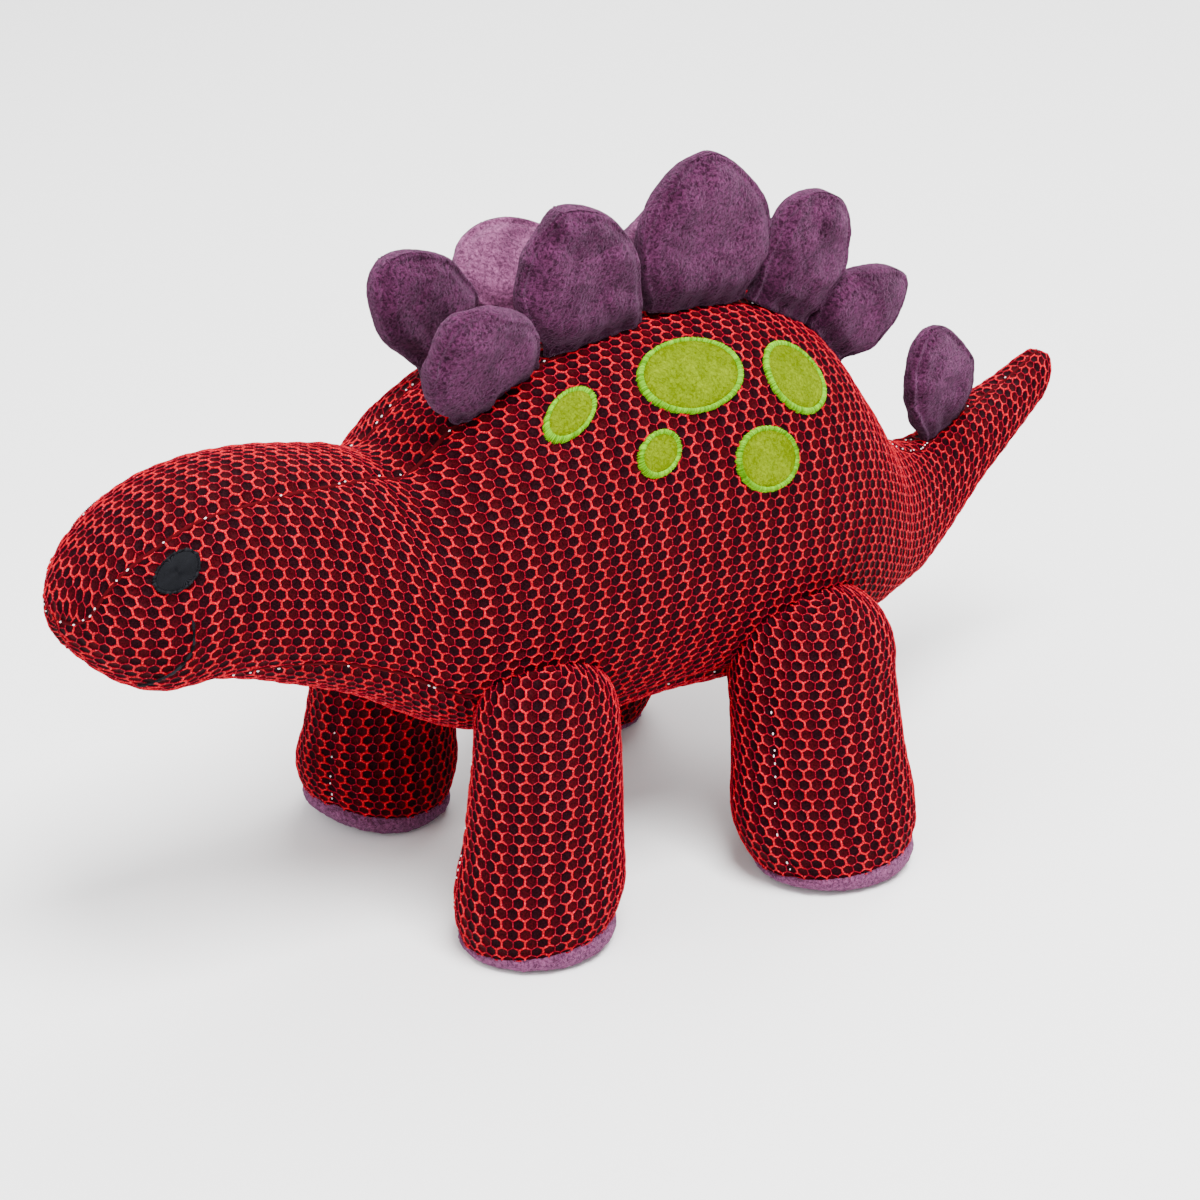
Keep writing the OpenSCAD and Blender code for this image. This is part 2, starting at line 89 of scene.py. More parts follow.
LEGS = {
    "front_left": [1, -72.5, 77, 28, 76, 57, -79],
    "front_right": [-1, -71, 77, 28, 76, 57, -76],
    "rear_left": [1, 42, 72, 32, 89, 77.5, 43],
    "rear_right": [-1, 42, 72, 32, 89, 77.5, 31],
}
FOOT_R = 30.0
SOLE_H = 7.0
# How much painted light makes the soles paler all over
SOLE_PAINTED_LIGHT = 0.42

# Where the legs' inner sides and tops are, in x, and how square the tops are
SEAT_X = 32.4
LEG_TOP_X = 55.0
LEG_SHOULDER = 2.7

# Heights by which a foot that starts further in is out at the seat, and by which a lifted toe
# and the hem's shape, above the sole, have faded out
CLEAR_Z = 40.0
TOE_H = 40.0
HEM_FADE = 34.0

# Angles round a leg: the way that its hem tilts, and its heel
HEM_ANGLE, HEEL_ANGLE = math.radians(54), math.radians(130)

# What sets each leg apart, in millimetres: tilt of its cover's hem, fullness of the shin, drop
# of the hem at the heel, and lift of the toe
LEG_SHAPES = {
    "front_left": [3.6, 2.0, 0, 0],
    "front_right": [-1.6, 2.0, 0, 7],
    "rear_left": [3.6, 9.0, 0, 1.5],
    "rear_right": [-1.6, 9.0, 5.6, 0],
}

# Angle of each leg's front seam, from the outside round by the tail, and by side the place from
# which the cloth's rows are counted both ways to the leg's other seam
SEAM_ANGLE = {"front_left": 244, "front_right": 244, "rear_left": 296, "rear_right": 296}
ROW_START = {1: 330, -1: 216}

# From a sole's rim to its middle: share of the radius and share of the hem's height
SOLE_PROFILE = [
    (1.0, 1.06), (1.015, 0.82), (1.02, 0.58), (0.995, 0.36), (0.95, 0.19), (0.89, 0.08),
    (0.82, 0.02), (0.72, 0), (0.6, 0), (0.48, 0), (0.36, 0), (0.24, 0), (0.12, 0), (0.02, 0),
]

# ---- sizes of the plates, in millimetres: side, y, base, height, outward lean in degrees ----

PLATES = {
    "left_1": [1, -66, 37, 42, 22],
    "left_2": [1, -25.2, 38, 49, 6],
    "left_3": [1, 21.4, 40, 52, 3],
    "left_4": [1, 58, 28, 43, 4],
    "left_5": [1, 82, 20, 39, 4],
    "right_1": [-1, -65.5, 28, 45, 0],
    "right_2": [-1, -27, 38, 34, 41],
    "right_3": [-1, 34, 38, 37, 2],
    "right_4": [-1, 73, 28, 34, 4],
    "tail": [0, 163, 28, 43, 0],
}

# The leaf shapes, in millimetres and shares: reach to the front and rear, base to the front and
# rear, the tip's shift to the rear, height of the widest place at the front and rear, and how
# square the shoulders are at the front and rear
LEAVES = {
    "left_1": [27, 20, 20, 18, -9, 0.35, 0.30, 1.8, 1.5],
    "left_2": [31, 20, 21, 21, -11, 0.50, 0.30, 1.35, 1.9],
    "left_3": [30, 30, 24, 21, -2, 0.45, 0.32, 1.8, 1.55],
    "left_4": [22, 19, 18, 14, -2, 0.60, 0.40, 2.0, 2.0],
    "left_5": [23, 16, 19, 9, 4, 0.20, 0.50, 1.5, 2.2],
    "right_1": [18, 22, 10, 15, -6, 0.50, 0.30, 2.6, 1.8],
    "right_2": [24, 24, 18, 18, -3, 0.50, 0.40, 2.0, 1.8],
    "right_3": [28, 25, 24, 18, 0, 0.26, 0.40, 1.0, 1.8],
    "right_4": [19, 20, 13, 13, 0, 0.40, 0.40, 1.8, 1.8],
    "tail": [20, 18, 15, 12, -4, 0.40, 0.22, 2.0, 1.85],
}
PLATE_T = 14.0
PLATE_ROWS, PLATE_COLUMNS = 66, 50

# The seam ridge a plate stands on: radius, and gap to the body
BEAD_R, BEAD_GAP = 2.6, 0.8

# How far in from the outline a plate reaches its full thickness, and the outline's unevenness
CROWN_R = 13.0
EDGE_WAVE = 1.6

# Shares: how much painted light makes a plate's left face paler, and how thick a thin plate is
PAINTED_LIGHT = {"right_2": 0.6, "right_3": 0.4}
THINNER = {"tail": 0.72, "right_2": 0.9}

# ---- spots and face: y in millimetres, angle from the top, half length, half width, turn ----

SPOTS = [
    [-51, 37, 12.5, 8, 23],
    [-2, 39, 22, 15, -2],
    [41, 46, 15, 14, 80],
    [-25, 59, 10, 8, 24],
    [18, 69, 14.5, 12.3, 0],
]
EYE = [-199, 57.6, 8, 6.0, 10]
FAR_EYE = [-199, 64, 8, 6.0, 10]
MOUTH = np.array([
    [-197.5, 86], [-197.4, 94], [-198.2, 102], [-201.5, 112], [-206.5, 124], [-211, 140],
])

# ---- the honeycomb cloth ----

# Distance of neighbouring holes, length of a cell's side, and a cell's corners in half pitches
# and half sides
PITCH = 0.00425
SIDE = PITCH / math.sqrt(3)
CORNERS = ((0, 2), (1, 1), (1, -1), (0, -2), (-1, -1), (-1, 1))

# The yarns: widths, shade of the thin ones, and rise of the thick ones over the cloth
THICK_YARN, THIN_YARN = 0.00040, 0.00020
THIN_SHADE = 0.46
YARN_RISE = 0.00012

# The holes: reach of a yarn's shoulder and of its wall in yarn widths, what the wall adds to
# that, the most that each takes of the way to the middle, and depths of shoulder and floor
SHOULDER_REACH, WALL_REACH, WALL = 0.62, 1.3, 0.00012
SHOULDER_MOST, WALL_MOST = 0.3, 0.6
SHOULDER_DEPTH, HOLE_DEPTH = 0.00010, 0.00055

# How uneven stuffed cloth is, how far a panel's net is laid out both ways from its middle, and
# the step under the skin that tells which way is out
LUMP = 0.0006
NET_REACH = (-0.2, 0.2)
NORMAL_STEP = 0.004

# ---- seams, pile and embroidery ----

GROOVE_DEPTH, GROOVE_WIDTH = 0.0012, 0.0022
TAPE_R, TAPE_DEPTH = 0.0009, 0.0006
STITCH_LENGTHS, STITCH_STEPS = (0.0006, 0.0012), (0.0019, 0.0032)
STITCH_LIFT, STITCH_STRAY, STITCH_END = 0.0008, 0.0004, 0.003
STITCH_RADII = np.array([0.06, 0.26, 0.32, 0.26, 0.06]) * MM
PILE_GRAIN, SOLE_PILE, SPOT_PILE = 0.0011, 0.0004, 0.00016
EYE_THREAD, EYE_RELIEF = 0.00042, 0.00016
MOUTH_STITCH, MOUTH_STEP = 0.0036, 0.0028


# ---- curves ----

def smooth(table, column, x):
    """Column of a table at x, on a smooth curve through its rows."""
    xs, vs = table[:, 0], table[:, column]
    ends = np.arange(len(xs))
    before, after = np.maximum(ends - 1, 0), np.minimum(ends + 1, len(xs) - 1)
    slopes = (vs[after] - vs[before]) / (xs[after] - xs[before])
    i = np.clip(np.searchsorted(xs, x, "right") - 1, 0, len(xs) - 2)
    h = xs[i + 1] - xs[i]
    u = np.clip((x - xs[i]) / h, 0, 1)
    near = (2 * u**3 - 3 * u**2 + 1) * vs[i] + (u**3 - 2 * u**2 + u) * h * slopes[i]
    far = (3 * u**2 - 2 * u**3) * vs[i + 1] + (u**3 - u**2) * h * slopes[i + 1]
    return near + far


def swell(v):
    return np.sign(v) * np.abs(v) ** FULLNESS


def mix(a, b, u):
    return a + (b - a) * u


def hump(x, middle, width):
    """1 at the middle, fading to 0 on both sides."""
    return np.exp(-(((x - middle) / width) ** 2))


def unit(v):
    """The directions of vectors, and zero for a vector without length."""
    return v / np.maximum(np.linalg.norm(v, axis=-1), 1e-30)[..., None]


def skin(y, angle, depth=0.0):
    """Points on the body at y and at an angle from the top, a depth under the surface."""
    y, angle = np.broadcast_arrays(np.asarray(y, float), np.asarray(angle, float))
    a = np.radians(angle)
    nose = np.arccos(np.clip(1 - (y - NOSE_Y) / NOSE_R, 0, 1))
    tip = np.arccos(np.clip(1 - (TIP_Y - y) / TIP_R, 0, 1))
    r = np.sin(nose) * np.sin(tip)
    low, high, half = (smooth(STATIONS, k, y) for k in (1, 2, 3))
    bend = -TAIL_BEND * np.clip((y - BEND_Y) / (TIP_Y - BEND_Y), 0, None) ** 1.5
    return np.stack([
        bend + (half - depth) * r * swell(np.sin(a)),
        y + depth * np.cos(nose) - depth * np.cos(tip),
        (low + high) / 2 + ((high - low) / 2 - depth) * r * swell(np.cos(a)),
    ], -1)


def skin_and_out(y, angle):
    """Points on the body, and the way out of it at each."""
    on = skin(y, angle)
    return on, unit(on - skin(y, angle, NORMAL_STEP))


def body_ys():
    """Places along the body, close together where the nose and the tip are round."""
    turn = np.radians(np.linspace(0, 90, 60))
    nose = NOSE_Y + NOSE_R * (1 - np.cos(turn))
    tip = TIP_Y - TIP_R * (1 - np.cos(turn[::-1]))
    return np.concatenate([nose, np.linspace(nose[-1], tip[0], 420)[1:-1], tip])


def back_seam(y):
    return np.where(y > GUSSET_END, 0.0, np.clip(smooth(BACK_SEAM, 1, y / MM), 0, 90))


def belly_seam(y):
    round_chin = np.clip(smooth(BELLY_SEAM, 1, y / MM), 0, 180)
    return np.where((y < CHIN_Y) | (y > GUSSET_END), 180.0, round_chin)


def lengths(points):
    """Distance along a line of points, from its first one."""
    return np.concatenate([[0], np.cumsum(np.linalg.norm(np.diff(points, axis=0), axis=1))])


def lumps(points):
    """Slight unevenness of stuffed cloth at each point."""
    return LUMP * np.array([
        noise.noise(Vector(p) / 0.030) + 0.4 * noise.noise(Vector(p) / 0.011 + Vector((5, 5, 5)))
        for p in points
    ])


# ---- making meshes ----

def make(name, points, faces, material, floats=None):
    """An object from points and faces, smooth, with named numbers on its points."""
    mesh = bpy.data.meshes.new(name)
    mesh.from_pydata([tuple(p) for p in points], [], [tuple(f) for f in faces])
    mesh.shade_smooth()
    for key, values in (floats or {}).items():
        attribute = mesh.attributes.new(key, "FLOAT", "POINT")
        attribute.data.foreach_set("value", np.asarray(values, np.float32))
    mesh.materials.append(material)
    mesh.validate()
    piece = bpy.data.objects.new(name, mesh)
    bpy.context.scene.collection.objects.link(piece)
    return piece


def grid_faces(rows, columns, closed=False, flip=False):
    """Faces of a grid of points, joined round when it is closed."""
    wide = columns if closed else columns - 1
    i, j = (v.ravel() for v in np.meshgrid(np.arange(rows - 1), np.arange(wide), indexing="ij"))
    k = (j + 1) % columns
    low, high = i * columns, (i + 1) * columns
    faces = np.stack([low + j, low + k, high + k, high + j], 1)
    return faces[:, ::-1] if flip else faces


def tube(points, radius, sides):
    """Points and faces of a round cord along a line of points, closed at its ends."""
    points = np.asarray(points, float)
    along = unit(np.gradient(points, axis=0))
    across = unit(np.cross(along, [0.12, 0.31, 0.94]))
    up = np.cross(along, across)
    turn = np.linspace(0, 2 * np.pi, sides, endpoint=False)
    radii = np.broadcast_to(radius, len(points))
    ring = np.cos(turn)[None, :, None] * across[:, None] + np.sin(turn)[None, :, None] * up[:, None]
    body = points[:, None] + radii[:, None, None] * ring
    faces = [tuple(f) for f in grid_faces(len(points), sides, closed=True)]
    faces.append(tuple(range(sides))[::-1])
    faces.append(tuple(range((len(points) - 1) * sides, len(points) * sides)))
    return body.reshape(-1, 3), faces


def gather(parts):
    """Points and faces of several parts as one mesh."""
    points, faces, count = [], [], 0
    for p, f in parts:
        points.append(np.asarray(p))
        faces.extend(tuple(int(k) + count for k in face) for face in f)
        count += len(p)
    return np.concatenate(points), faces


def tidy(points, faces):
    """The same surface without doubled points and shrunken faces, and which points it keeps."""
    rounded = np.round(points, 7)
    _, first, index = np.unique(rounded, axis=0, return_index=True, return_inverse=True)
    index = index.ravel()
    kept = []
    for face in faces:
        new = [int(index[k]) for k in face]
        new = [k for i, k in enumerate(new) if k != new[i - 1]]
        if len(new) > 2 and len(set(new)) == len(new):
            kept.append(new)
    used = sorted({k for f in kept for k in f})
    renamed = {k: i for i, k in enumerate(used)}
    return points[first[used]], [[renamed[k] for k in f] for f in kept], first[used]


# ---- materials ----

def node_tools(name):
    """A new material with its shader, and short ways to add nodes and links."""
    material = bpy.data.materials.new(name)
    material.use_nodes = True
    tree = material.node_tree
    shader = tree.nodes["Principled BSDF"]

    def add(kind, **values):
        node = tree.nodes.new(kind)
        for key, value in values.items():
            if key in node.inputs:
                node.inputs[key].default_value = value
            else:
                setattr(node, key, value)
        return node

    return material, tree.links.new, add, shader


def ramp(add, link, source, stops):
    """A colour ramp fed by source, with stops of position and colour."""
    node = add("ShaderNodeValToRGB")
    elements = node.color_ramp.elements
    while len(elements) < len(stops):
        elements.new(0.5)
    for element, (place, colour) in zip(elements, stops):
        element.position = place
        element.color = (*colour, 1)
    link(source, node.inputs["Fac"])
    return node.outputs["Color"]


def mixed(add, link, factor, a, b, blend_type="MIX"):
    """Colour a turning into colour b. Each may be a colour or a socket, as may the factor."""
    node = add("ShaderNodeMix", data_type="RGBA", blend_type=blend_type)
    for socket, value in ((node.inputs[0], factor), (node.inputs[6], a), (node.inputs[7], b)):
        if isinstance(value, bpy.types.NodeSocket):
            link(value, socket)
        elif isinstance(value, (int, float)):
            socket.default_value = value
        else:
            socket.default_value = (*value, 1)
    return node.outputs[2]


def times(add, link, a, b):
    return mixed(add, link, 1.0, a, b, "MULTIPLY")


def rising(add, link, source, low, high, top=1.0):
    """A number that rises from 0 to top as source goes from low to high."""
    node = add("ShaderNodeMapRange", **{"From Min": low, "From Max": high, "To Max": top})
    link(source, node.inputs["Value"])
    return node.outputs[0]


def noise_over(add, link, **values):
    """Noise over the object, as a number at each place."""
    texture = add("ShaderNodeTexNoise", **values)
    link(add("ShaderNodeTexCoord").outputs["Object"], texture.inputs["Vector"])
    return texture.outputs["Fac"]


def point_number(add, name):
    """A named number of the mesh's points."""
    return add("ShaderNodeAttribute", attribute_name=name).outputs["Fac"]


def grey(value):
    return (value, value, value)


def surface(add, link, shader, colour, fibre, roughness, specular, bumps, depth):
    """Give a shader its colour and roughness, and the relief of its fibres."""
    link(colour, shader.inputs["Base Color"])
    shader.inputs["Roughness"].default_value = roughness
    shader.inputs["Specular IOR Level"].default_value = specular
    bump = add("ShaderNodeBump", Strength=bumps, Distance=depth)
    link(fibre, bump.inputs["Height"])
    link(bump.outputs[0], shader.inputs["Normal"])


def mesh_cloth():
    """Red honeycomb knit: bright and thin yarns round holes that show a dark backing."""
    material, link, add, shader = node_tools("mesh_cloth")
    yarn, backing = point_number(add, "yarn"), point_number(add, "backing")
    cloud = noise_over(add, link, Scale=60.0, Detail=2.0)
    fibre = noise_over(add, link, Scale=1700.0, Detail=2.0)
    hole = mixed(add, link, backing, (0.0100, 0.0008, 0.0022), (0.030, 0.0006, 0.0020))
    thread = ramp(add, link, yarn, [
        (0.0, (0.05, 0.001, 0.003)), (0.45, (0.21, 0.002, 0.011)), (1.0, (0.43, 0.0005, 0.008)),
    ])
    cover = rising(add, link, yarn, 0.12, 0.40)
    colour = mixed(add, link, cover, hole, thread)
    speckle = ramp(add, link, fibre, [(0.36, grey(0.5)), (0.64, (1.45, 1.6, 1.6))])
    patch = ramp(add, link, cloud, [(0.3, (0.86, 0.84, 0.84)), (0.7, grey(1.1))])
    colour = times(add, link, times(add, link, colour, speckle), patch)
    glint = add("ShaderNodeMath", operation="MULTIPLY")
    link(rising(add, link, fibre, 0.62, 0.74, top=0.3), glint.inputs[0])
    link(cover, glint.inputs[1])
    colour = mixed(add, link, glint.outputs[0], colour, (0.85, 0.16, 0.21))
    surface(add, link, shader, colour, fibre, roughness=0.6, specular=0.02, bumps=0.6, depth=0.0003)
    return material


def plush(name, dark, middle, light, painted_light_colour, sheen, sheen_tint, grain):
    """Short-pile plush: mottled, with fine fibres, paler where light is painted on and darker where
    shade is painted on.
    """
    material, link, add, shader = node_tools(name)
    painted_light, painted_shade = point_number(add, "painted_light"), point_number(add, "painted_shade")
    mottle = noise_over(add, link, Scale=150.0, Detail=2.0, Roughness=0.5)
    fibre = noise_over(add, link, Scale=850.0, Detail=4.0, Roughness=0.75, Distortion=0.6)
    colour = ramp(add, link, mottle, [(0.30, dark), (0.52, middle), (0.75, light)])
    # Painted light turns the colour paler and softens the fibre strokes; painted shade darkens the
    # colour
    colour = mixed(add, link, painted_light, colour, painted_light_colour)
    colour = times(add, link, colour, mixed(add, link, painted_shade, grey(1), (0.42, 0.36, 0.40)))
    soft = mixed(add, link, painted_light, grey(grain), grey(grain * 0.5))
    strokes = ramp(add, link, fibre, [(0.40, grey(0)), (0.64, grey(1))])
    dark_stroke = mixed(add, link, 1.0, grey(1), soft, "SUBTRACT")
    light_stroke = mixed(add, link, 1.0, grey(1), times(add, link, soft, grey(1.9)), "ADD")
    colour = times(add, link, colour, mixed(add, link, strokes, dark_stroke, light_stroke))
    surface(add, link, shader, colour, fibre, roughness=0.95, specular=0.02, bumps=1, depth=0.0012)
    shader.inputs["Sheen Weight"].default_value = sheen
    shader.inputs["Sheen Roughness"].default_value = 0.35
    shader.inputs["Sheen Tint"].default_value = (*sheen_tint, 1)
    return material


def thread_material(name, dark, light, roughness):
    """Embroidery thread, lighter and darker from one stitch to the next."""
    material, link, add, shader = node_tools(name)
    fibre = noise_over(add, link, Scale=3000.0, Detail=2.0)
    colour = mixed(add, link, point_number(add, "strand"), dark, light)
    colour = times(add, link, colour, ramp(add, link, fibre, [(0.3, grey(0.8)), (0.7, grey(1.15))]))
    surface(add, link, shader, colour, fibre, roughness, specular=0.03, bumps=0.4, depth=0.0002)
    return material


MESH_CLOTH = mesh_cloth()
PURPLE = plush(
    "purple_plush", (0.040, 0.0088, 0.027), (0.050, 0.0115, 0.035), (0.060, 0.0145, 0.043),
    painted_light_colour=(0.23, 0.075, 0.163), sheen=0.22, sheen_tint=(0.80, 0.45, 0.72), grain=0.66,
)
LIME = plush(
    "lime_plush", (0.100, 0.150, 0.0001), (0.128, 0.188, 0.0002), (0.155, 0.220, 0.0004),
    painted_light_colour=(0.22, 0.30, 0.01), sheen=0.0, sheen_tint=(0.8, 1.0, 0.3), grain=0.22,
)
LIME_THREAD = thread_material("lime_thread", (0.050, 0.17, 0.0), (0.20, 0.52, 0.0), 0.8)
DARK_THREAD = thread_material("dark_thread", (0.001, 0.0012, 0.0018), (0.0125, 0.013, 0.016), 0.6)
WHITE_THREAD = thread_material("white_thread", (0.75, 0.70, 0.70), (0.95, 0.92, 0.92), 0.5)
SEAM_THREAD = thread_material("seam_tape", (0.020, 0.001, 0.002), (0.090, 0.002, 0.005), 0.8)


# ---- the honeycomb net ----

def facing_out(points, cells, out):
    """The cells, turned to face outwards, and the way out at each point."""
    ring = points[cells]
    facing = np.cross(ring, np.roll(ring, -1, axis=1)).sum(axis=1)
    if (facing * out[cells].mean(axis=1)).sum() < 0:
        cells, facing = cells[:, ::-1], -facing
    normal = np.zeros_like(points)
    np.add.at(normal, cells.ravel(), np.repeat(facing, 6, axis=0))
    return cells, unit(normal + 1e-9 * out)


def relief(points, normal, width, cells):
    """The shoulders of the yarns round each cell, and the sunken floor of its hole."""
    ring, ring_normal, ring_width = points[cells], normal[cells], width[cells][..., None]
    inward = ring.mean(axis=1, keepdims=True) - ring
    room = np.linalg.norm(inward, axis=2, keepdims=True) + 1e-9
    inward = inward / room
    down = ring_normal * np.minimum(1, room / SIDE)
    to_shoulder = np.minimum(SHOULDER_REACH * ring_width, SHOULDER_MOST * room)
    to_base = np.minimum(WALL_REACH * ring_width + WALL, WALL_MOST * room)
    shoulder = ring + inward * to_shoulder - down * SHOULDER_DEPTH
    base = ring + inward * to_base - down * HOLE_DEPTH
    return shoulder.reshape(-1, 3), base.reshape(-1, 3)


def honeycomb(s_span, t_span, place):
    """A knitted net on a surface, as points, faces and its points' yarn and backing.

    Cells stand in rows along s, and place(s, t) says where a corner lies, whether it is on the
    panel, how far it sinks towards a seam and which way is out."""
    rows = np.arange(int(t_span[0] / SIDE / 1.5) - 2, int(t_span[1] / SIDE / 1.5) + 3)
    columns = np.arange(int(s_span[0] / PITCH) - 2, int(s_span[1] / PITCH) + 3)
    i, j = (v.ravel() for v in np.meshgrid(columns, rows, indexing="ij"))
    steps = np.array(CORNERS)
    corners = np.stack([(2 * i + j % 2)[:, None] + steps[:, 0], (3 * j)[:, None] + steps[:, 1]], -1)
    keys, index = np.unique(corners.reshape(-1, 2), axis=0, return_inverse=True)
    points, inside, sink, out = place(keys[:, 0] * PITCH / 2, keys[:, 1] * SIDE / 2)
    cells = index.reshape(-1, 6)
    kept = inside[cells].any(axis=1)
    cells, i, j = cells[kept], i[kept], j[kept]
    used, cells = np.unique(cells, return_inverse=True)
    cells = cells.reshape(-1, 6)
    points, sink, out, keys = points[used], sink[used], out[used], keys[used]
    cells, normal = facing_out(points, cells, out)

    row = np.where(keys[:, 1] % 3 == 1, (keys[:, 1] - 1) // 3, (keys[:, 1] + 1) // 3)
    thick = np.where(row % 2 == 0, keys[:, 0] % 4 == 1, keys[:, 0] % 4 == 0)
    left = 2 * i + j % 2 - 1
    backed = np.where(j % 2 == 0, left % 4 == 1, left % 4 == 0).astype(float)
    rise = np.where(thick, YARN_RISE, -YARN_RISE)
    points = points + normal * (lumps(points) - sink + rise)[:, None]
    shoulder, base = relief(points, normal, np.where(thick, THICK_YARN, THIN_YARN), cells)

    n, m = len(points), len(cells) * 6
    a = n + np.arange(m).reshape(-1, 6)
    b = a + m
    next_cells, next_a, next_b = (np.roll(v, -1, axis=1) for v in (cells, a, b))
    upper = np.stack([cells, next_cells, next_a, a], 2).reshape(-1, 4)
    lower = np.stack([a, next_a, next_b, b], 2).reshape(-1, 4)
    faces = [*upper.tolist(), *lower.tolist(), *b.tolist()]
    bright = np.where(thick, 1.0, THIN_SHADE) * (0.92 + 0.16 * rng.random(n))
    yarn = np.concatenate([bright, bright[cells].ravel() * 0.96, np.zeros(m)])
    behind = np.repeat(backed * (0.6 + 0.5 * rng.random(len(cells))), 6)
    backing = np.concatenate([np.zeros(n + m), behind])
    return np.concatenate([points, shoulder, base]), faces, yarn, backing


def part_of(net, chosen):
    """The faces of a net whose middle is chosen, with only the points that they use."""
    points, faces, yarn, backing = net
    kept = [f for f in faces if chosen(points[f].mean(axis=0))]
    used = sorted({k for f in kept for k in f})
    renamed = {k: i for i, k in enumerate(used)}
    return points[used], [[renamed[k] for k in f] for f in kept], yarn[used], backing[used]


def net_piece(name, net):
    points, faces, yarn, backing = net
    piece = make(name, points, faces, MESH_CLOTH, {"yarn": yarn, "backing": backing})
    return piece


def groove(distance):
    return GROOVE_DEPTH * hump(distance, 0, GROOVE_WIDTH)


def body_panel(middle, first, last, side=1):
    """The net of one cover panel between two seams, given as functions of y."""
    ys = body_ys()
    along = lengths(skin(ys, side * middle))

    def place(s, t):
        points, out = np.zeros((len(s), 3)), np.zeros((len(s), 3))
        inside, sink = np.zeros(len(s), bool), np.zeros(len(s))
        for value in np.unique(s):
            chosen = s == value
            y = np.interp(value, along, ys)
            angles = np.linspace(first(y), last(y), 160)
            arc = lengths(skin(y, side * angles))
            arc -= np.interp(middle, angles, arc)
            held = np.clip(t[chosen], arc[0], arc[-1])
            angle = np.interp(held, arc, angles)
            points[chosen] = skin(y, side * angle)
            out[chosen] = points[chosen] - skin(y, side * angle, NORMAL_STEP)
            inside[chosen] = (held == t[chosen]) & (0 < value < along[-1])
            sink[chosen] = groove(np.minimum(held - arc[0], arc[-1] - held))
        return points, inside, sink, out

    return honeycomb((0, along[-1]), NET_REACH, place)


# ---- head, torso and tail covers ----


def bend_front(piece):
    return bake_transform(piece)


def bend_rear(piece):
    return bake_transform(piece)


def covers():
    panels = {
        "cover_left": body_panel(95, back_seam, belly_seam),
        "cover_right": body_panel(95, back_seam, belly_seam, side=-1),
        "back_gusset": body_panel(0, lambda y: -back_seam(y), back_seam),
        "belly_gusset": body_panel(180, belly_seam, lambda y: 360 - belly_seam(y)),
    }
    stands_for = {
        "cover_left": (["head_left_panel", "torso_left_panel", "head_filling", "torso_filling"],
                       ["tail_left_panel", "tail_filling"]),
        "cover_right": (["head_right_panel", "torso_right_panel"], ["tail_right_panel"]),
        "back_gusset": (["head_gusset", "back_gusset"], []),
        "belly_gusset": (["throat_gusset", "belly_gusset"], []),
    }
    for name, net in panels.items():
        front = net_piece(name + "_front", part_of(net, lambda p: p[1] < 0))
        rear = net_piece(name + "_rear", part_of(net, lambda p: p[1] >= 0))
        for piece, nodes in zip((front, rear), stands_for[name]):
            if nodes:
                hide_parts(*nodes)
        bend_front(front)
        bend_rear(rear)


def seam_points(y, angle):
    """Points in the bottom of a seam's groove."""
    on, out = skin_and_out(y, angle)
    return on + out * (lumps(on) - GROOVE_DEPTH)[:, None], out


def stitches_along(on, out, share):
    """Short white stitches here and there along a line, with each stitch's shade."""
    parts, shades = [], []
    distance = lengths(on)
    place = STITCH_END
    while place < distance[-1] - STITCH_END:
        crowd = 1 + 1.6 * noise.noise(Vector((place / 0.02, on[0][0] * 90, on[0][1] * 90)))
        if rng.random() < share * crowd:
            steps = place + np.linspace(0, rng.uniform(*STITCH_LENGTHS), 5)
            line = np.column_stack([np.interp(steps, distance, on[:, k]) for k in range(3)])
            lift = np.column_stack([np.interp(steps, distance, out[:, k]) for k in range(3)])
            side = unit(np.cross(lift[0], line[-1] - line[0]))
            line = line + lift * STITCH_LIFT + side * rng.uniform(-STITCH_STRAY, STITCH_STRAY)
            points, faces = tube(line, STITCH_RADII, 6)
            parts.append((points, faces))
            shades.append(np.full(len(points), rng.random()))
        place += rng.uniform(*STITCH_STEPS)
    return parts, shades


def stitch_piece(name, parts, shades):
    points, faces = gather(parts)
    return make(name, points, faces, WHITE_THREAD, {"strand": np.concatenate(shades)})


def seams():
    """The tape inside each seam, and the white stitches that show here and there."""
    whole = body_ys()[1:-1]
    belly = np.linspace(CHIN_Y, GUSSET_END, 260)
    chin = whole[whole < CHIN_Y + 0.001]
    tail = whole[whole > GUSSET_END - 0.001]
    back = whole[whole < GUSSET_END]
    lines = [(back, s * back_seam(back), 0.5) for s in (-1, 1)]
    lines += [(belly, s * belly_seam(belly), 0.22) for s in (-1, 1)]
    lines += [(chin, 180 + 0 * chin, 0.3), (tail, 0 * tail, 0.12), (tail, 180 + 0 * tail, 0.12)]
    for half, name in ((-1, "front"), (1, "rear")):
        tapes, stitches, shades = [], [], []
        for y, angle, share in lines:
            chosen = y * half >= -0.001
            if chosen.sum() < 3:
                continue
            on, out = seam_points(y[chosen], angle[chosen])
            tapes.append(tube(on - out * TAPE_DEPTH, TAPE_R, 6))
            more, more_shades = stitches_along(on, out, share)
            stitches += more
            shades += more_shades
        points, faces = gather(tapes)
        shade = {"strand": np.full(len(points), 0.4)}
        tape = make("seam_tape_" + name, points, faces, SEAM_THREAD, shade)
        thread = stitch_piece("seam_stitches_" + name, stitches, shades)
        bend = bend_front if half < 0 else bend_rear
        for piece in (tape, thread):
            bend(piece)


# ---- legs ----

def toe_lift(name, y, z):
    """How far a foot's front is lifted off the floor, at y and z in millimetres."""
    share = np.clip((LEGS[name][6] - y) / FOOT_R, 0, 1.2)
    return LEG_SHAPES[name][3] * share**2 * np.clip(1 - z / TOE_H, 0, 1)


